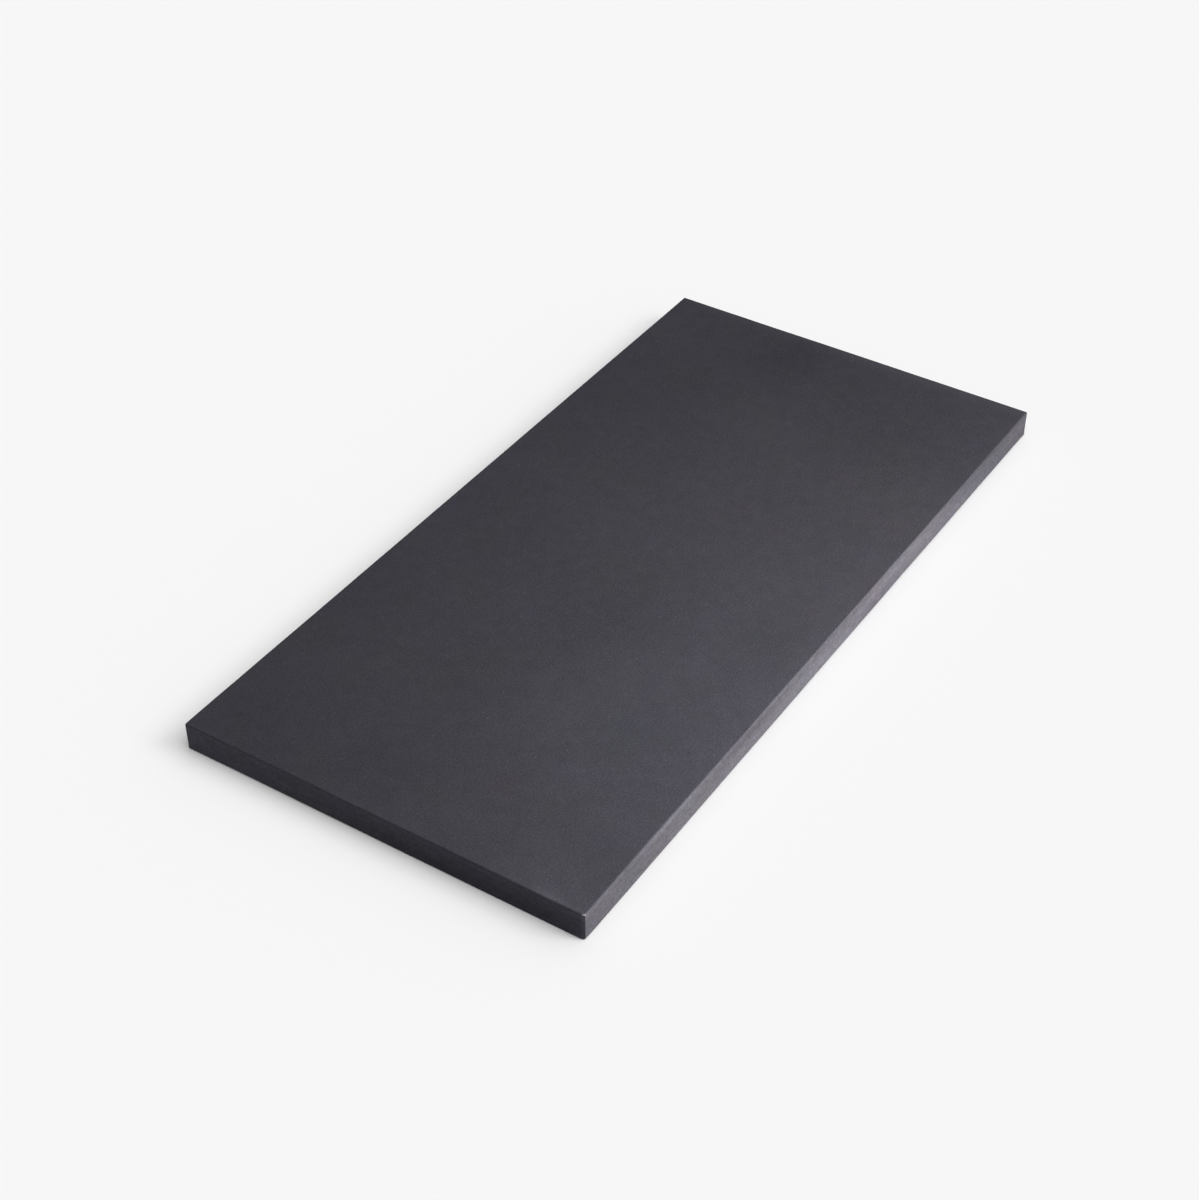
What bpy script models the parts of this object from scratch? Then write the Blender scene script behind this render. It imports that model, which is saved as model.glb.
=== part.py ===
"""Rubber cutting board: rubber face sheets and edge strips bonded round a plywood core.

Units are metres and +Z is up. The origin is the centre of the underside, with X along the long side
and Y along the short side. The board is the same both ways up, so either face can be cut on.
"""

import math

import bmesh
import bpy

# Plan of the finished board
LENGTH = 0.444
WIDTH = 0.220

# Layers through the thickness, which add up to the thickness of the board
FACE_SHEET = 0.0030
VENEER = 0.0015
VENEER_COUNT = 5

# Width of the rubber strips that close the core's sides
EDGE_STRIP = 0.0120

# Bond line between any two pieces that are stuck together
BOND_LINE = 0.0003

# Radius to which the outer edges and corners are sanded
EDGE_EASE = 0.0009
EASE_SEGMENTS = 3
SMOOTH_BELOW = math.radians(40.0)

# Colours are linear, with the roughness of each finish
SANDED_RUBBER = (0.055, 0.053, 0.061, 1.0)
SANDED_ROUGHNESS = 0.72
SAWN_RUBBER = (0.066, 0.063, 0.070, 1.0)
SAWN_ROUGHNESS = 0.80
LONG_GRAIN_VENEER = (0.58, 0.42, 0.26, 1.0)
CROSS_GRAIN_VENEER = (0.50, 0.35, 0.21, 1.0)
VENEER_ROUGHNESS = 0.65

# Sizes and heights that follow from the ones above
INSET = EDGE_STRIP + BOND_LINE
CORE_LENGTH = LENGTH - 2.0 * INSET
CORE_WIDTH = WIDTH - 2.0 * INSET
CORE_THICKNESS = VENEER_COUNT * VENEER + (VENEER_COUNT - 1) * BOND_LINE
CORE_BOTTOM = FACE_SHEET + BOND_LINE
CORE_MIDDLE = CORE_BOTTOM + CORE_THICKNESS / 2.0
THICKNESS = 2.0 * CORE_BOTTOM + CORE_THICKNESS


def clear_scene():
    """Remove whatever the file holds before the board is made."""
    for old in list(bpy.data.objects):
        bpy.data.objects.remove(old, do_unlink=True)


def finish(name, colour, roughness):
    """Non-metallic material of one piece."""
    material = bpy.data.materials.new(name + "_finish")
    material.use_nodes = True
    shader = material.node_tree.nodes["Principled BSDF"]
    shader.inputs["Base Color"].default_value = colour
    shader.inputs["Roughness"].default_value = roughness
    shader.inputs["Metallic"].default_value = 0.0
    return material


def edge_middle(edge):
    """Point halfway along an edge."""
    return (edge.verts[0].co + edge.verts[1].co) / 2.0


def slab(name, size, centre, material, is_eased=None):
    """Rectangular piece about its own centre, with the edges that is_eased picks rounded off."""
    shape = bmesh.new()
    bmesh.ops.create_cube(shape, size=1.0)
    bmesh.ops.scale(shape, vec=size, verts=shape.verts)
    if is_eased:
        bmesh.ops.bevel(
            shape,
            geom=[edge for edge in shape.edges if is_eased(edge_middle(edge))],
            offset=EDGE_EASE,
            offset_type="OFFSET",
            segments=EASE_SEGMENTS,
            profile=0.5,
            affect="EDGES",
        )
    mesh = bpy.data.meshes.new(name)
    shape.to_mesh(mesh)
    shape.free()
    mesh.shade_smooth()
    mesh.set_sharp_from_angle(angle=SMOOTH_BELOW)
    mesh.materials.append(material)
    piece = bpy.data.objects.new(name, mesh)
    piece.location = centre
    bpy.context.scene.collection.objects.link(piece)
    return piece


def face_sheet(name, facing):
    """Full-size rubber sheet; facing is 1 for the upper sheet and -1 for the lower one."""
    height = CORE_MIDDLE + facing * (THICKNESS - FACE_SHEET) / 2.0

    def is_eased(middle):
        return middle.z * facing > -FACE_SHEET / 4.0

    material = finish(name, SANDED_RUBBER, SANDED_ROUGHNESS)
    return slab(name, (LENGTH, WIDTH, FACE_SHEET), (0.0, 0.0, height), material, is_eased)


def long_edge_strip(name, side):
    """Rubber strip along a long side, which takes in both of that side's corners."""
    offset = side * (WIDTH - EDGE_STRIP) / 2.0

    def is_eased(middle):
        return middle.y * side > 0.0 and abs(middle.z) < CORE_THICKNESS / 4.0

    material = finish(name, SAWN_RUBBER, SAWN_ROUGHNESS)
    size = (LENGTH, EDGE_STRIP, CORE_THICKNESS)
    return slab(name, size, (0.0, offset, CORE_MIDDLE), material, is_eased)


def short_edge_strip(name, side):
    """Rubber strip across a short side, butted between the two long strips."""
    offset = side * (LENGTH - EDGE_STRIP) / 2.0
    material = finish(name, SAWN_RUBBER, SAWN_ROUGHNESS)
    size = (EDGE_STRIP, CORE_WIDTH, CORE_THICKNESS)
    return slab(name, size, (offset, 0.0, CORE_MIDDLE), material)


def core_veneer(number):
    """One ply of the core, counted from the bottom, with every second ply's grain turned across."""
    name = f"core_veneer_{number}"
    height = CORE_BOTTOM + (number - 1) * (VENEER + BOND_LINE) + VENEER / 2.0
    grain = LONG_GRAIN_VENEER if number % 2 else CROSS_GRAIN_VENEER
    material = finish(name, grain, VENEER_ROUGHNESS)
    return slab(name, (CORE_LENGTH, CORE_WIDTH, VENEER), (0.0, 0.0, height), material)


def build_board():
    """Make every piece of the board and hang it on one empty at the origin."""
    clear_scene()
    board = bpy.data.objects.new("cutting_board", None)
    bpy.context.scene.collection.objects.link(board)
    pieces = [core_veneer(number) for number in range(1, VENEER_COUNT + 1)]
    pieces += [
        long_edge_strip("front_edge_strip", -1),
        long_edge_strip("back_edge_strip", 1),
        short_edge_strip("left_edge_strip", -1),
        short_edge_strip("right_edge_strip", 1),
        face_sheet("bottom_rubber_sheet", -1),
        face_sheet("top_rubber_sheet", 1),
    ]
    for piece in pieces:
        piece.parent = board


build_board()
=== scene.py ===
"""Looks of the rubber cutting board: sanded black rubber faces, sawn sides and hand-eased edges.

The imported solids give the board's size and the place of each piece. Lengths are metres, X runs along the
board and +Z is up.
"""

import math

import bpy
import numpy as np
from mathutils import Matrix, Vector, noise


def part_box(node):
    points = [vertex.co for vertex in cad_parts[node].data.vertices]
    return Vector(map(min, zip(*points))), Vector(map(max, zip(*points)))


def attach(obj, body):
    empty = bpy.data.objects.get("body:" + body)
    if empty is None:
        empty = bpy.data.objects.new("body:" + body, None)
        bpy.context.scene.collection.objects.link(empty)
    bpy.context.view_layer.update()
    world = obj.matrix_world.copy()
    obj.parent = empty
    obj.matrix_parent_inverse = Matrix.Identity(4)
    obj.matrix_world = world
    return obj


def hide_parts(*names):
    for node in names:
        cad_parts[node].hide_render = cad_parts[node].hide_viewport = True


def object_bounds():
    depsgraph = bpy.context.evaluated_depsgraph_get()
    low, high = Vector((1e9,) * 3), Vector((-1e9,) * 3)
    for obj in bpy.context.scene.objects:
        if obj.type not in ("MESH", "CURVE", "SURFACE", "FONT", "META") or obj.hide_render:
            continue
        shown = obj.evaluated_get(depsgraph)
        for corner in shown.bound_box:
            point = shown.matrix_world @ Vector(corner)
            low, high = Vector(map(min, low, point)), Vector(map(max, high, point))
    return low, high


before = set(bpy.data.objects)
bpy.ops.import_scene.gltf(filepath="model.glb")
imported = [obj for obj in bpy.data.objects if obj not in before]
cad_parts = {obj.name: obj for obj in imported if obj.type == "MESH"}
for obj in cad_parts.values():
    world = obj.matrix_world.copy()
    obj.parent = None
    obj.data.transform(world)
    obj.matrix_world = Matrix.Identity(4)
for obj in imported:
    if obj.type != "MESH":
        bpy.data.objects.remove(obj)        # only the solids stay, all on one body
CAD_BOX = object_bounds()

# Outer box of the board and the half bond line that each piece grows by to meet its neighbours
LOW = np.array(CAD_BOX[0])
HIGH = np.array(CAD_BOX[1])
CENTRE = (LOW + HIGH) / 2.0
HALF_SIZE = (HIGH - LOW) / 2.0
HALF_BOND = (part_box("top_rubber_sheet")[0].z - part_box("front_edge_strip")[1].z) / 2.0
TOUCHING = 1e-6

# Rubber pieces, each with the solid that it stands for and its material
RUBBER_PIECES = (
    ("upper_face_sheet", "top_rubber_sheet", "face_rubber"),
    ("lower_face_sheet", "bottom_rubber_sheet", "face_rubber"),
    ("front_side_strip", "front_edge_strip", "edge_rubber"),
    ("back_side_strip", "back_edge_strip", "edge_rubber"),
    ("left_end_strip", "left_edge_strip", "edge_rubber"),
    ("right_end_strip", "right_edge_strip", "edge_rubber"),
)

# Camera, fitted to the straight edges of the board in a picture of 1199 x 1200 pixels
CAMERA_PLACE = (-0.75278, -0.46136, 0.70542)
CAMERA_TURN = tuple(math.radians(angle) for angle in (50.798, 0.0176, -57.090))
CAMERA_LENS = 66.642
SENSOR = 36.0

# Studio: a sky brighter to one side, a soft box low on the long side and wide suns for the shadow
FLOOR_SIZE = 60.0
FLOOR_DROP = 0.0001
FLOOR_COLOUR = (0.926, 0.926, 0.926, 1.0)
BACKDROP_COLOUR = (0.926, 0.926, 0.926, 1.0)
SKY_COLOUR = (1.0, 1.0, 1.0, 1.0)
SKY_GAIN = 0.82
SKY_DIRECTION = Vector((0.33, -0.63, 1.00)).normalized()
SOFT_BOX_PLACE = Vector((-0.035, -0.470, 0.135))
SOFT_BOX_AIM = Vector((-0.020, 0.0, 0.008))
SOFT_BOX_WIDTH = 0.24
SOFT_BOX_HEIGHT = 0.26
SOFT_BOX_POWER = 6.5
SOFT_BOX_COLOUR = (1.010, 1.0, 0.870)
FLOOR_SUNS = (
    # direction, angle across, share of the floor's light
    (Vector((-0.104, -0.292, 1.0)).normalized(), math.radians(45.0), 0.349),
    (Vector((0.441, -1.121, 1.0)).normalized(), math.radians(29.0), 0.196),
)

# Mesh of the outer skin
MESH_STEP = 0.0025
EDGE_GROWTH = 1.5
EASE_ANGLES = tuple(math.radians(angle) for angle in (45.0, 30.0, 15.0, 0.0))
SMOOTH_BELOW = math.radians(40.0)

# Eased edges: radius at the top and bottom, more of it at the left end, uneven sanding and odd spots
TOP_EASE = 0.00055
BOTTOM_EASE = 0.00096
END_EASE = 0.00030
END_EASE_REACH = 0.004
EASE_SWING = 0.25
EASE_WAVE = 0.028
EASE_SPOTS = (
    # place as shares of half the board along X, Y and Z, extra radius, reach
    ((-0.74, -1, 1), 0.00042, 0.035),
    ((-1, -0.70, 1), 0.00010, 0.025),
    ((-1, -1, 1), -0.00014, 0.015),
    ((1, -1, 1), 0.0002, 0.040),
    ((-1, 0.60, -1), 0.00020, 0.050),
    ((-1, -1, -1), -0.00048, 0.150),
    ((-1, -1, -1), 0.0004, 0.003),
    ((0.80, -1, -1), 0.00034, 0.080),
    ((1, -1, -1), -0.0005, 0.003),
    ((1, 1, -1), 0.0009, 0.005),
    ((-1, 1, -1), -0.0003, 0.006),
)

# Worn near corner: how far its flats run along X, Y and Z, one down the upright edge and a chip on top
NEAR_SIGNS = np.array((-1, -1, 1))
NEAR_CORNER = CENTRE + HALF_SIZE * NEAR_SIGNS
BEVEL_SIZE = (0.0010, 0.0021, math.inf)
CHIP_SIZE = (0.0018, 0.0019, 0.0013)

# Painted highlight on the chip: its pale colour, and the share of the chip's depth over which it fades in
CHIP_HIGHLIGHT_COLOUR = (0.170, 0.175, 0.194)
CHIP_FADE = 0.3

# Dips left by sanding the faces and sawing the sides, and the length of their waves
FACE_DIP = 0.00004
FACE_WAVE = 0.060
SIDE_DIP = 0.00010
SIDE_WAVE = (0.045, 0.045, 0.012)

# Noise in the materials, as detail and roughness
SMOOTH_NOISE = (2.0, 0.5)
UNEVEN_NOISE = (3.0, 0.5)
RAGGED_NOISE = (3.0, 0.6)
GRITTY_NOISE = (4.0, 0.65)
BLOTCHY_NOISE = (5.0, 0.7)

# Wear along the edges: where it fades out, its gain, and the size and noise levels of its patches
RIM_WIDTH = 0.0016
RIM_GAIN = 0.16
RIM_PATCH = 0.010
RIM_BARE = 0.40
RIM_RUBBED = 0.75

# Rubber, as linear colour, sanded and sawn, and how far red, green and blue drift in its blotches
SANDED_RUBBER = (0.0492, 0.0480, 0.0620)
SAWN_RUBBER = (0.0491, 0.0470, 0.0600)
BLOTCH_SIZE = 0.040
SANDED_DRIFT = (0.12, 0.0, 0.26)
SAWN_DRIFT = (0.20, 0.0, 0.28)

# Gloss of the rubber, and the size and noise levels of its smoother and duller patches
SPECULAR_LEVEL = 0.06
FACE_ROUGHNESS = 0.72
SIDE_ROUGHNESS = 0.80
ROUGHNESS_SWING = 0.05
ROUGHNESS_PATCH = 0.008
SMOOTHEST = 0.3
DULLEST = 0.7

# Grain of the rubber, shared by its faces and sides
GRAIN_SIZE = 0.0008
GRAIN_SWING = 0.81
PIT_SIZE = 0.0006
PIT_DEPTH = 0.00012
PIT_STRENGTH = 0.35

# Patches on the skin: the sides of the board that have them, as axis and level, and how deep they go
TOP = (2, HIGH[2])
FRONT = (1, LOW[1])
LEFT = (0, LOW[0])
PATCH_DEPTH = 0.004
SIDE_PATCH_DEPTH = 0.020

# Ragged outlines of patches: how far they drift along X, Y and Z, and the size of the drift's noise
PATCH_DRIFT = (0.016, 0.016, 0.003)
PATCH_DRIFT_SIZE = 0.015

# Sanded faces: clouds, mottling, light specks of filler, lighter and darker patches, worn edges and a
# bluer patch
FACE_CLOUD_SIZE = 0.080
FACE_CLOUD_SWING = 0.12
FACE_MOTTLE_SIZE = 0.006
FACE_MOTTLE_SWING = 0.12
SPECK_CELL = 0.0047
SPECK_RADIUS = 0.00040
SPECK_SHARE = 0.80
SPECK_GAIN = 0.70
TOP_PATCHES = (
    # centre along X and Y, reach along X and Y, gain
    ((-0.070, -0.085), (0.170, 0.080), 0.10),
    ((-0.222, -0.088), (0.042, 0.042), 0.20),
    ((0.180, -0.060), (0.120, 0.080), -0.07),
    ((-0.100, -0.040), (0.070, 0.035), 0.11),
    ((0.222, 0.100), (0.090, 0.060), 0.10),
    ((0.198, 0.024), (0.042, 0.034), -0.14),
    ((-0.197, 0.014), (0.030, 0.036), -0.11),
    ((0.030, 0.012), (0.110, 0.055), 0.09),
    ((-0.128, -0.018), (0.055, 0.030), 0.09),
    ((-0.030, -0.086), (0.110, 0.024), -0.08),
)
TOP_EDGE_WEAR = (
    # centre along X and Y, reach along X and Y, gain
    ((0.222, -0.020), (0.011, 0.200), 0.22),
    ((-0.222, -0.089), (0.009, 0.010), 0.24),
    ((-0.222, -0.098), (0.005, 0.018), 0.15),
)
BLUE_PATCH = ((-0.080, -0.090), (0.200, 0.120), 0.042)

# Sawn sides: clouds drawn out along the side, saw streaks, mottling, lighter and darker patches, and
# painted shade low on the left end
SIDE_CLOUD_SIZE = 0.060
SIDE_CLOUD_SWING = 0.16
SIDE_CLOUD_SLANT = math.radians(5.0)
SIDE_CLOUD_STRETCH = (1.0, 1.0, 6.0)
STREAK_SIZE = 0.036
STREAK_SWING = 0.14
STREAK_STRETCH = (1.0, 1.0, 30.0)
SIDE_MOTTLE_SIZE = 0.0055
SIDE_MOTTLE_SWING = 0.24
SIDE_MOTTLE_STRETCH = (1.0, 1.0, 2.5)
FRONT_PATCHES = (
    # centre along X and Z, reach along X and Z, gain
    ((-0.162, 0.0150), (0.032, 0.0034), 0.36),
    ((-0.219, 0.0140), (0.020, 0.0035), 0.16),
    ((-0.188, 0.0120), (0.020, 0.0050), -0.10),
    ((-0.085, 0.0120), (0.060, 0.0080), -0.26),
    ((-0.024, 0.0050), (0.075, 0.0075), 0.21),
    ((0.080, 0.0108), (0.070, 0.0062), 0.33),
    ((0.115, 0.0045), (0.080, 0.0070), 0.25),
    ((0.000, 0.0150), (0.060, 0.0040), -0.18),
    ((0.175, 0.0155), (0.075, 0.0055), -0.21),
    ((0.212, 0.0100), (0.036, 0.0060), 0.16),
    ((0.027, 0.0092), (0.024, 0.0036), 0.13),
    ((-0.142, 0.0045), (0.036, 0.0045), 0.09),
)
LEFT_PATCHES = (
    # centre along Y and Z, reach along Y and Z, gain
    ((0.108, 0.0075), (0.016, 0.0080), 0.20),
    ((-0.030, 0.0085), (0.022, 0.0050), 0.16),
    ((-0.090, 0.0040), (0.026, 0.0055), -0.13),
)
# Painted shade on the left end, darkest at its foot: centre along Y and Z, reach along Y and Z, gain
LEFT_END_PAINTED_SHADE = ((-0.040, 0.0), (0.130, 0.0220), -0.37)

# Wood of the core
LONG_GRAIN = (0.58, 0.42, 0.26)
CROSS_GRAIN = (0.50, 0.35, 0.21)
WOOD_ROUGHNESS = 0.65
WOOD_STRETCH = 0.04
FIGURE_SIZE = 0.010
FIGURE_SWING = 0.30
PORE_SIZE = 0.0010
PORE_SWING = 0.20
PORE_DEPTH = 0.0001
PORE_STRENGTH = 0.4


# Node helpers

def add_node(tree, kind, inputs=(), **settings):
    """Add a node, with inputs given as socket to value or socket to the output that feeds it."""
    node = tree.nodes.new(kind)
    for name, value in settings.items():
        setattr(node, name, value)
    for name, value in dict(inputs).items():
        if isinstance(value, bpy.types.NodeSocket):
            tree.links.new(value, node.inputs[name])
        else:
            node.inputs[name].default_value = value
    return node


def calc(tree, operation, *values):
    """Result of a math node."""
    return add_node(tree, "ShaderNodeMath", enumerate(values), operation=operation).outputs[0]


def vector_calc(tree, operation, *values):
    """Result of a vector math node, which is a single number where the operation gives one."""
    outputs = add_node(tree, "ShaderNodeVectorMath", enumerate(values), operation=operation).outputs
    return outputs["Value" if operation in ("LENGTH", "DOT_PRODUCT") else "Vector"]


def object_place(tree):
    """Place in the board's own frame."""
    return add_node(tree, "ShaderNodeTexCoord").outputs["Object"]


def attribute(tree, name):
    """Number that the mesh keeps at each point."""
    return add_node(tree, "ShaderNodeAttribute", attribute_name=name).outputs["Fac"]


def stretched(tree, place, scale, slant=0.0):
    """Coordinates turned about Y, then scaled, for marks that are drawn out along one axis."""
    inputs = {"Vector": place, "Rotation": (0.0, slant, 0.0), "Scale": scale}
    return add_node(tree, "ShaderNodeMapping", inputs).outputs["Vector"]


def noise_node(tree, place, size, kind=SMOOTH_NOISE):
    """Noise whose main features are about the given size across."""
    detail, roughness = kind
    inputs = {"Vector": place, "Scale": 1.0 / size, "Detail": detail, "Roughness": roughness}
    return add_node(tree, "ShaderNodeTexNoise", inputs)


def fractal(tree, place, size, kind=SMOOTH_NOISE):
    """Noise around 0.5, as a number."""
    return noise_node(tree, place, size, kind).outputs["Fac"]


def mottled(tree, place, size, amount, kind=SMOOTH_NOISE):
    """Factor that moves around 1 by the given amount, in spots of about the given size."""
    return calc(tree, "MULTIPLY_ADD", fractal(tree, place, size, kind), 2.0 * amount, 1.0 - amount)


def ramp(tree, value, start, end, low=0.0, high=1.0):
    """Smooth step of a value from low at start to high at end."""
    inputs = {"Value": value, "From Min": start, "From Max": end, "To Min": low, "To Max": high}
    node = add_node(tree, "ShaderNodeMapRange", inputs, interpolation_type="SMOOTHSTEP")
    return node.outputs["Result"]


def product(tree, *values):
    """All the values multiplied together."""
    total = values[0]
    for value in values[1:]:
        total = calc(tree, "MULTIPLY", total, value)
    return total


def between(tree, share, first, second, kind="FLOAT"):
    """Mix of two numbers or vectors by a share that runs from 0 to 1."""
    inputs = {"Factor": share, "A": first, "B": second}
    return add_node(tree, "ShaderNodeMix", inputs, data_type=kind).outputs["Result"]


def scaled(tree, colour, tone):
    """Colour made lighter or darker by a factor."""
    inputs = {0: colour, "Scale": tone}
    return add_node(tree, "ShaderNodeVectorMath", inputs, operation="SCALE").outputs["Vector"]


def bumped(tree, height, depth, strength):
    """Direction of the surface under a bump."""
    inputs = {"Height": height, "Distance": depth, "Strength": strength}
    return add_node(tree, "ShaderNodeBump", inputs).outputs["Normal"]


# Materials

def new_material(name):
    """A new material and its shader."""
    material = bpy.data.materials.new(name)
    material.use_nodes = True
    return material, material.node_tree.nodes["Principled BSDF"]


def drifting(tree, place):
    """Coordinates shifted unevenly, so that patches laid out on them have ragged outlines."""
    shift = noise_node(tree, place, PATCH_DRIFT_SIZE, RAGGED_NOISE).outputs["Color"]
    low = tuple(-0.5 * reach for reach in PATCH_DRIFT)
    return vector_calc(tree, "ADD", place, vector_calc(tree, "MULTIPLY_ADD", shift, PATCH_DRIFT, low))


def patch(tree, place, centre, reach, gain):
    """Factor that is 1 + gain at the centre of a soft patch and 1 outside it."""
    inputs = {"Vector": place, "Location": centre, "Scale": reach}
    local = add_node(tree, "ShaderNodeMapping", inputs, vector_type="TEXTURE").outputs["Vector"]
    inside = ramp(tree, vector_calc(tree, "LENGTH", local), 0.0, 1.0, 1.0, 0.0)
    return calc(tree, "MULTIPLY_ADD", inside, gain, 1.0)


def skin_patches(tree, place, side, depth, spots):
    """Factors of soft patches laid out on one side of the board."""
    axis, level = side
    factors = []
    for centre, reach, gain in spots:
        centre = tuple(np.insert(centre, axis, level))
        reach = tuple(np.insert(reach, axis, depth))
        factors.append(patch(tree, place, centre, reach, gain))
    return factors


def specks(tree, place):
    """Factor that is raised inside sparse dots of filler, a few of them bright and most faint."""
    inputs = {"Vector": place, "Scale": 1.0 / SPECK_CELL}
    cells = add_node(tree, "ShaderNodeTexVoronoi", inputs, voronoi_dimensions="2D")
    chance = add_node(tree, "ShaderNodeSeparateColor", {"Color": cells.outputs["Color"]}).outputs
    reach = calc(tree, "MULTIPLY", chance["Green"], SPECK_RADIUS / SPECK_CELL)
    dot = calc(tree, "LESS_THAN", cells.outputs["Distance"], reach)
    kept = calc(tree, "LESS_THAN", chance["Red"], SPECK_SHARE)
    brightness = product(tree, dot, kept, chance["Blue"], chance["Blue"])
    return calc(tree, "MULTIPLY_ADD", brightness, SPECK_GAIN, 1.0)


def sanded_tone(tree, place, ragged):
    """Brightness of a sanded face: clouds, mottling, specks, lighter and darker patches and worn edges."""
    clouds = mottled(tree, place, FACE_CLOUD_SIZE, FACE_CLOUD_SWING)
    mottle = mottled(tree, place, FACE_MOTTLE_SIZE, FACE_MOTTLE_SWING)
    patches = skin_patches(tree, ragged, TOP, PATCH_DEPTH, TOP_PATCHES)
    patches += skin_patches(tree, place, TOP, PATCH_DEPTH, TOP_EDGE_WEAR)
    return product(tree, clouds, mottle, specks(tree, place), *patches)


def sawn_tone(tree, place, ragged):
    """Brightness of a sawn side: slanted clouds, saw streaks, mottling, patches and painted shade on the
    left end.
    """
    cloud_place = stretched(tree, place, SIDE_CLOUD_STRETCH, SIDE_CLOUD_SLANT)
    clouds = mottled(tree, cloud_place, SIDE_CLOUD_SIZE, SIDE_CLOUD_SWING)
    streak_place = stretched(tree, place, STREAK_STRETCH)
    streaks = mottled(tree, streak_place, STREAK_SIZE, STREAK_SWING)
    mottle_place = stretched(tree, place, SIDE_MOTTLE_STRETCH)
    mottle = mottled(tree, mottle_place, SIDE_MOTTLE_SIZE, SIDE_MOTTLE_SWING)
    # painted shade on the left end, darkest at its foot
    patches = skin_patches(tree, place, LEFT, PATCH_DEPTH, [LEFT_END_PAINTED_SHADE])
    patches += skin_patches(tree, ragged, FRONT, SIDE_PATCH_DEPTH, FRONT_PATCHES)
    patches += skin_patches(tree, ragged, LEFT, SIDE_PATCH_DEPTH, LEFT_PATCHES)
    return product(tree, clouds, streaks, mottle, *patches)


def edge_tone(tree, place):
    """Brightness along the eased edges, rubbed lighter in places."""
    patches = ramp(tree, fractal(tree, place, RIM_PATCH, RAGGED_NOISE), RIM_BARE, RIM_RUBBED)
    rubbed = calc(tree, "MULTIPLY", attribute(tree, "rim"), patches)
    return calc(tree, "MULTIPLY_ADD", rubbed, RIM_GAIN, 1.0)


def blotched(tree, hue, colour, drift):
    """Colour whose red, green and blue drift by shares of their level as the hue moves around 0.5."""
    width = np.array(colour) * drift
    return vector_calc(tree, "MULTIPLY_ADD", hue, tuple(width), tuple(colour - width / 2.0))


def bluer_patch(tree, ragged, colour):
    """Colour with a little more blue in it inside one soft patch of the upper face."""
    blue = skin_patches(tree, ragged, TOP, PATCH_DEPTH, [BLUE_PATCH])[0]
    gains = add_node(tree, "ShaderNodeCombineXYZ", {"X": 1.0, "Y": 1.0, "Z": blue}).outputs["Vector"]
    return vector_calc(tree, "MULTIPLY", colour, gains)


def chip_painted_highlight(tree, place, colour):
    """The rubber's colour, with a pale painted highlight on the flat of the chipped corner."""
    normal = NEAR_SIGNS / CHIP_SIZE
    across = vector_calc(tree, "DOT_PRODUCT", place, tuple(normal))
    beyond = calc(tree, "ADD", across, 1.0 - NEAR_CORNER @ normal)
    return between(tree, ramp(tree, beyond, -CHIP_FADE, 0.0), colour, CHIP_HIGHLIGHT_COLOUR, "VECTOR")


def rubber(name, roughness, has_face):
    """Black rubber with sawn sides; has_face adds the sanded finish where the piece faces up or down."""
    material, shader = new_material(name)
    tree = material.node_tree
    place = object_place(tree)
    ragged = drifting(tree, place)
    hue = noise_node(tree, place, BLOTCH_SIZE, BLOTCHY_NOISE).outputs["Color"]
    colour = blotched(tree, hue, SAWN_RUBBER, SAWN_DRIFT)
    tone = sawn_tone(tree, place, ragged)
    if has_face:
        side = attribute(tree, "side")
        sanded = bluer_patch(tree, ragged, blotched(tree, hue, SANDED_RUBBER, SANDED_DRIFT))
        colour = between(tree, side, sanded, colour, "VECTOR")
        tone = between(tree, side, sanded_tone(tree, place, ragged), tone)
    grain = mottled(tree, place, GRAIN_SIZE, GRAIN_SWING, GRITTY_NOISE)
    tone = product(tree, tone, grain, edge_tone(tree, place))
    # pale painted highlight on the flat of the chipped corner
    tinted = scaled(tree, chip_painted_highlight(tree, place, colour), tone)
    tree.links.new(tinted, shader.inputs["Base Color"])
    worn = fractal(tree, place, ROUGHNESS_PATCH, UNEVEN_NOISE)
    limits = (roughness - ROUGHNESS_SWING, roughness + ROUGHNESS_SWING)
    tree.links.new(ramp(tree, worn, SMOOTHEST, DULLEST, *limits), shader.inputs["Roughness"])
    pits = fractal(tree, place, PIT_SIZE, RAGGED_NOISE)
    tree.links.new(bumped(tree, pits, PIT_DEPTH, PIT_STRENGTH), shader.inputs["Normal"])
    shader.inputs["Specular IOR Level"].default_value = SPECULAR_LEVEL
    return material


def veneer(name, colour, along_x):
    """Bare veneer whose grain runs along X or along Y."""
    material, shader = new_material(name)
    tree = material.node_tree
    stretch = (WOOD_STRETCH, 1.0, 1.0) if along_x else (1.0, WOOD_STRETCH, 1.0)
    fibres = stretched(tree, object_place(tree), stretch)
    figure = mottled(tree, fibres, FIGURE_SIZE, FIGURE_SWING, RAGGED_NOISE)
    pores = mottled(tree, fibres, PORE_SIZE, PORE_SWING)
    tinted = scaled(tree, colour, product(tree, figure, pores))
    tree.links.new(tinted, shader.inputs["Base Color"])
    tree.links.new(bumped(tree, pores, PORE_DEPTH, PORE_STRENGTH), shader.inputs["Normal"])
    shader.inputs["Roughness"].default_value = WOOD_ROUGHNESS
    return material


# Shape of the outer skin

def grid_lines(low, high):
    """Mesh lines across the whole board, closer together towards its eased edges."""
    near = [TOP_EASE * (1.0 - math.tan(angle)) for angle in EASE_ANGLES]
    while near[-1] * (EDGE_GROWTH - 1.0) < MESH_STEP and near[-1] * EDGE_GROWTH < (high - low) / 2.0:
        near.append(near[-1] * EDGE_GROWTH)
    near = np.array(near)
    count = math.ceil((high - low - 2.0 * near[-1]) / MESH_STEP) + 1
    middle = np.linspace(low + near[-1], high - near[-1], count)
    return np.concatenate([low + near[:-1], middle, high - near[-2::-1]])


BOARD_LINES = [grid_lines(LOW[axis], HIGH[axis]) for axis in range(3)]


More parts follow.
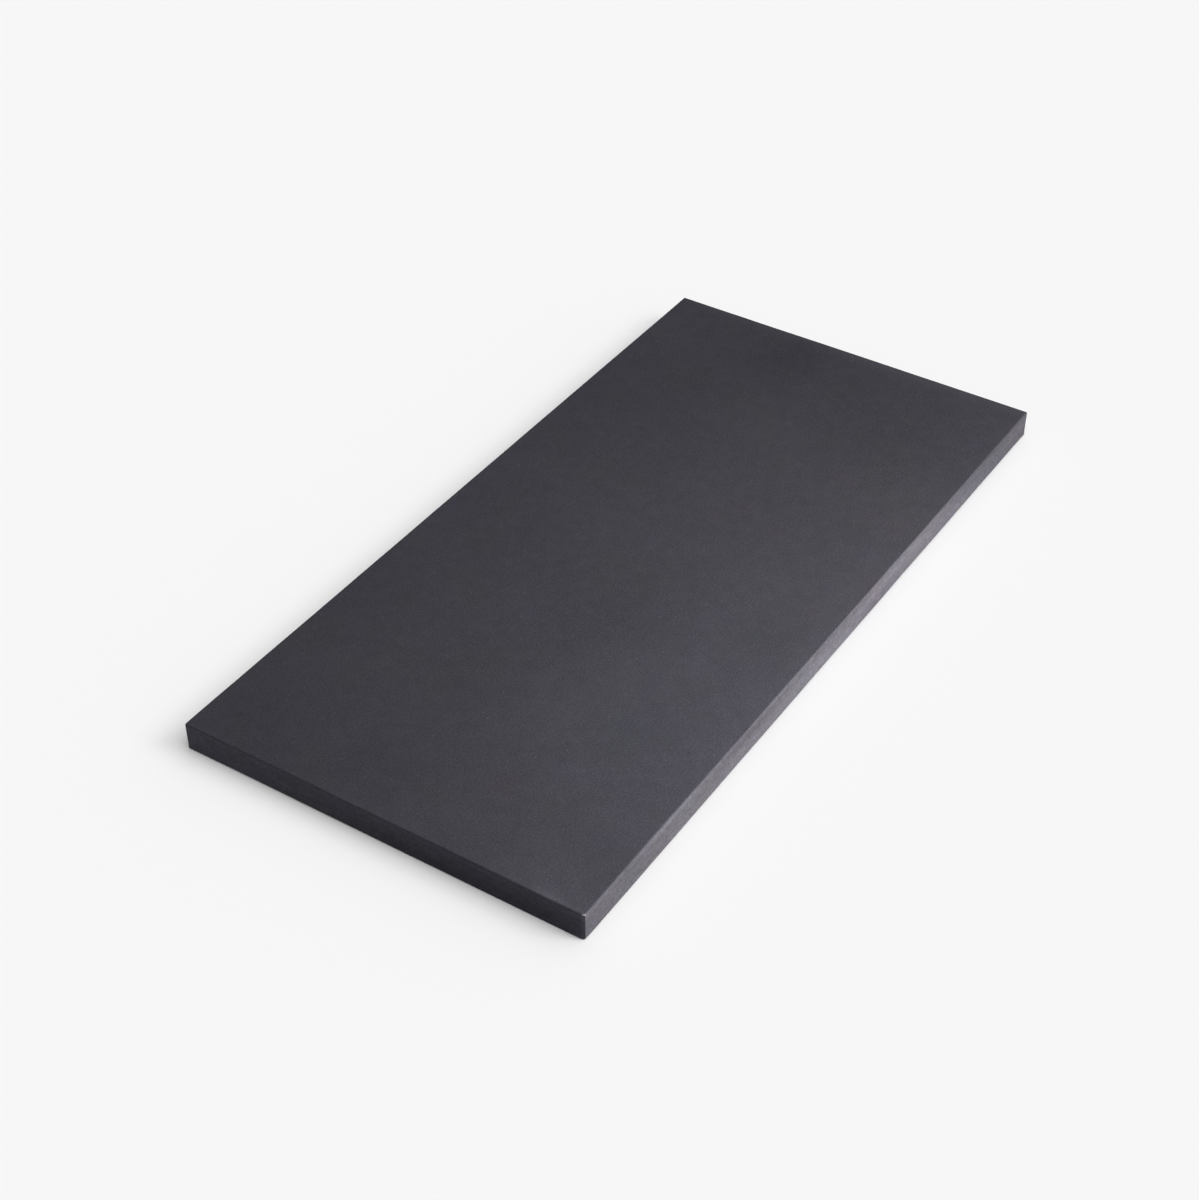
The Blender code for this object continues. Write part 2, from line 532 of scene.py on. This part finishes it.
def piece_lines(low, high, axis):
    """The board's mesh lines that fall inside a piece, with the piece's own two limits."""
    lines = BOARD_LINES[axis]
    inside = lines[(lines > low + TOUCHING) & (lines < high - TOUCHING)]
    return np.concatenate([[low], inside, [high]])


def grown_box(node):
    """Box of a solid, with each face inside the board moved out to the middle of its bond line."""
    low, high = (np.array(corner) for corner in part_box(node))
    low = np.where(low > LOW + TOUCHING, low - HALF_BOND, LOW)
    high = np.where(high < HIGH - TOUCHING, high + HALF_BOND, HIGH)
    return low, high


def lattice_box(lines):
    """Points and outward faces of a closed box: quads along the mesh lines on each side that lies on the
    board's skin, and one flat face on each side that is bonded to another piece."""
    counts = [len(axis_lines) for axis_lines in lines]
    number = np.arange(math.prod(counts)).reshape(counts)
    faces = []
    for axis in range(3):
        for side, skin in ((0, LOW), (-1, HIGH)):
            grid = np.take(number, side, axis=axis)
            if abs(lines[axis][side] - skin[axis]) < TOUCHING:
                corners = (grid[:-1, :-1], grid[1:, :-1], grid[1:, 1:], grid[:-1, 1:])
                found = np.stack([corner.ravel() for corner in corners], axis=1)
            else:
                ring = (grid[:-1, 0], grid[-1, :-1], grid[:0:-1, -1], grid[0, :0:-1])
                found = np.concatenate(ring)[None]
            is_inward = (side == 0) != (axis == 1)
            faces += (found[:, ::-1] if is_inward else found).tolist()
    used = sorted({corner for face in faces for corner in face})
    new_number = {old: new for new, old in enumerate(used)}
    places = np.unravel_index(used, counts)
    points = np.stack([lines[axis][places[axis]] for axis in range(3)], axis=1)
    return points, [[new_number[corner] for corner in face] for face in faces]


def wave(points, length):
    """Smooth noise from 0 to 1 over points, with features of the given length on each axis."""
    scaled_points = points / np.broadcast_to(length, 3)
    return np.array([0.5 + 0.5 * noise.noise(Vector(point)) for point in scaled_points])


def ease_radius(points):
    """Radius of the eased edges near each point, uneven as hand sanding leaves it."""
    height = (points[:, 2] - LOW[2]) / (HIGH[2] - LOW[2])
    radius = BOTTOM_EASE + (TOP_EASE - BOTTOM_EASE) * height
    radius += END_EASE * np.exp((LOW[0] - points[:, 0]) / END_EASE_REACH)
    radius *= 1.0 + EASE_SWING * (2.0 * wave(points, EASE_WAVE) - 1.0)
    for share, extra, reach in EASE_SPOTS:
        distance = np.linalg.norm(points - CENTRE - HALF_SIZE * np.array(share), axis=1)
        own_edge = (1.0 + share[2] * (2.0 * height - 1.0)) / 2.0
        radius += extra * own_edge * np.exp(-((distance / reach) ** 2))
    return radius


def cut_flat(points, size):
    """Points beyond a flat across the near corner brought back onto it."""
    normal = NEAR_SIGNS / size
    steepness = np.linalg.norm(normal)
    beyond = ((points - NEAR_CORNER) @ normal + 1.0) / steepness
    return points - np.maximum(beyond, 0.0)[:, None] * normal / steepness


def eased_skin(points):
    """Points of the plain outer box moved onto the eased skin, with the outward direction there."""
    radius = ease_radius(points)[:, None]
    local = points - CENTRE
    inner = np.clip(local, radius - HALF_SIZE, HALF_SIZE - radius)
    outward = local - inner
    outward /= np.maximum(np.linalg.norm(outward, axis=1, keepdims=True), TOUCHING)
    face_dip = FACE_DIP * wave(points, FACE_WAVE) * np.abs(outward[:, 2])
    side_dip = SIDE_DIP * wave(points, SIDE_WAVE) * np.linalg.norm(outward[:, :2], axis=1)
    skin = CENTRE + inner + outward * (radius - (face_dip + side_dip)[:, None])
    return cut_flat(cut_flat(skin, BEVEL_SIZE), CHIP_SIZE), outward


def edge_distance(points):
    """Distance of each point of the skin to the nearest edge of the board."""
    depth = np.sort(HALF_SIZE - np.abs(points - CENTRE), axis=1)
    return depth[:, 1]


def store(mesh, name, values):
    """Keep one number for each point of a mesh, for its material to read."""
    kept = mesh.attributes.new(name, "FLOAT", "POINT")
    kept.data.foreach_set("value", values.astype(np.float32))


def rubber_piece(name, node, material):
    """One rubber piece of the board, which stands for a solid and shares the board's eased skin."""
    low, high = grown_box(node)
    points, faces = lattice_box([piece_lines(low[axis], high[axis], axis) for axis in range(3)])
    is_outer = np.any(np.abs(points - CENTRE) > HALF_SIZE - TOUCHING, axis=1)
    skin, outward = eased_skin(points)
    shaped = np.where(is_outer[:, None], skin, points)
    mesh = bpy.data.meshes.new(name)
    mesh.from_pydata(shaped.tolist(), [], faces)
    mesh.shade_smooth()
    mesh.set_sharp_from_angle(angle=SMOOTH_BELOW)
    store(mesh, "side", np.where(is_outer, 1.0 - np.abs(outward[:, 2]), 1.0))
    store(mesh, "rim", np.where(is_outer, np.exp(-edge_distance(points) / RIM_WIDTH), 0.0))
    mesh.materials.append(material)
    piece = bpy.data.objects.new(name, mesh)
    bpy.context.scene.collection.objects.link(piece)
    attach(piece, "root")
    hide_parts(node)
    return piece


def build_board():
    """The rubber pieces of the board."""
    materials = {
        "face_rubber": rubber("face_rubber", FACE_ROUGHNESS, True),
        "edge_rubber": rubber("edge_rubber", SIDE_ROUGHNESS, False),
    }
    return [rubber_piece(name, node, materials[slot]) for name, node, slot in RUBBER_PIECES]


def dress_core():
    """Veneer on the plies of the core, which stay as the solids are."""
    long_grain = veneer("long_grain_veneer", LONG_GRAIN, True)
    cross_grain = veneer("cross_grain_veneer", CROSS_GRAIN, False)
    plies = sorted(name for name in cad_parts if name.startswith("core_veneer"))
    for place, name in enumerate(plies):
        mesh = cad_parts[name].data
        mesh.materials.clear()
        mesh.materials.append(cross_grain if place % 2 else long_grain)


# Studio

def lit_only(light, name, objects):
    """Let a light fall on the given objects alone."""
    group = bpy.data.collections.new(name)
    for item in objects:
        group.objects.link(item)
    light.light_linking.receiver_collection = group


def place_light(name, data, place, direction):
    """Add a light that shines along a direction and shows neither itself nor its reflection."""
    light = bpy.data.objects.new(name, data)
    light.location = place
    light.rotation_euler = direction.to_track_quat("-Z", "Y").to_euler()
    light.visible_camera = False
    light.visible_glossy = False
    bpy.context.scene.collection.objects.link(light)
    return light


def build_floor():
    """Wide pale matt floor just under the board."""
    half = FLOOR_SIZE / 2.0
    corners = [(-half, -half), (half, -half), (half, half), (-half, half)]
    mesh = bpy.data.meshes.new("floor")
    mesh.from_pydata([(x, y, -FLOOR_DROP) for x, y in corners], [], [(0, 1, 2, 3)])
    material, shader = new_material("floor")
    shader.inputs["Base Color"].default_value = FLOOR_COLOUR
    shader.inputs["Roughness"].default_value = 1.0
    shader.inputs["Specular IOR Level"].default_value = 0.0
    mesh.materials.append(material)
    floor = bpy.data.objects.new("floor", mesh)
    bpy.context.scene.collection.objects.link(floor)
    return floor


def build_world():
    """Sky that is brighter to one side, seen directly and in gloss as a pale backdrop."""
    world = bpy.data.worlds.new("studio")
    bpy.context.scene.world = world
    world.use_nodes = True
    tree = world.node_tree
    tree.nodes.clear()
    rays = add_node(tree, "ShaderNodeLightPath").outputs
    mirrored = calc(tree, "MAXIMUM", rays["Is Glossy Ray"], rays["Is Transmission Ray"])
    seen = calc(tree, "MAXIMUM", rays["Is Camera Ray"], mirrored)
    direction = add_node(tree, "ShaderNodeTexCoord").outputs["Generated"]
    facing = calc(tree, "MAXIMUM", vector_calc(tree, "DOT_PRODUCT", direction, SKY_DIRECTION), 0.0)
    level = calc(tree, "MULTIPLY", facing, SKY_GAIN)
    sky = add_node(tree, "ShaderNodeBackground", {"Color": SKY_COLOUR, "Strength": level})
    backdrop = add_node(tree, "ShaderNodeBackground", {"Color": BACKDROP_COLOUR, "Strength": 1.0})
    inputs = {0: seen, 1: sky.outputs[0], 2: backdrop.outputs[0]}
    shown = add_node(tree, "ShaderNodeMixShader", inputs)
    add_node(tree, "ShaderNodeOutputWorld", {"Surface": shown.outputs[0]})


def build_lights(board, floor):
    """Soft box on the board and wide suns on the floor."""
    box = bpy.data.lights.new("soft_box", "AREA")
    box.shape = "RECTANGLE"
    box.size = SOFT_BOX_WIDTH
    box.size_y = SOFT_BOX_HEIGHT
    box.energy = SOFT_BOX_POWER
    box.color = SOFT_BOX_COLOUR
    soft_box = place_light("soft_box", box, SOFT_BOX_PLACE, SOFT_BOX_AIM - SOFT_BOX_PLACE)
    lit_only(soft_box, "lit_by_soft_box", board)
    for direction, angle, share in FLOOR_SUNS:
        sun = bpy.data.lights.new("floor_sun", "SUN")
        sun.angle = angle
        sun.energy = share * math.pi / direction.z
        lit_only(place_light("floor_sun", sun, direction, -direction), "lit_by_floor_sun", [floor])


def build_camera():
    """Camera at the photograph's viewing angle."""
    data = bpy.data.cameras.new("camera")
    data.lens = CAMERA_LENS
    data.sensor_width = SENSOR
    camera = bpy.data.objects.new("camera", data)
    camera.location = CAMERA_PLACE
    camera.rotation_euler = CAMERA_TURN
    bpy.context.scene.collection.objects.link(camera)
    bpy.context.scene.camera = camera


bpy.context.scene.view_settings.view_transform = "Standard"
build_camera()
dress_core()
build_world()
build_lights(build_board(), build_floor())
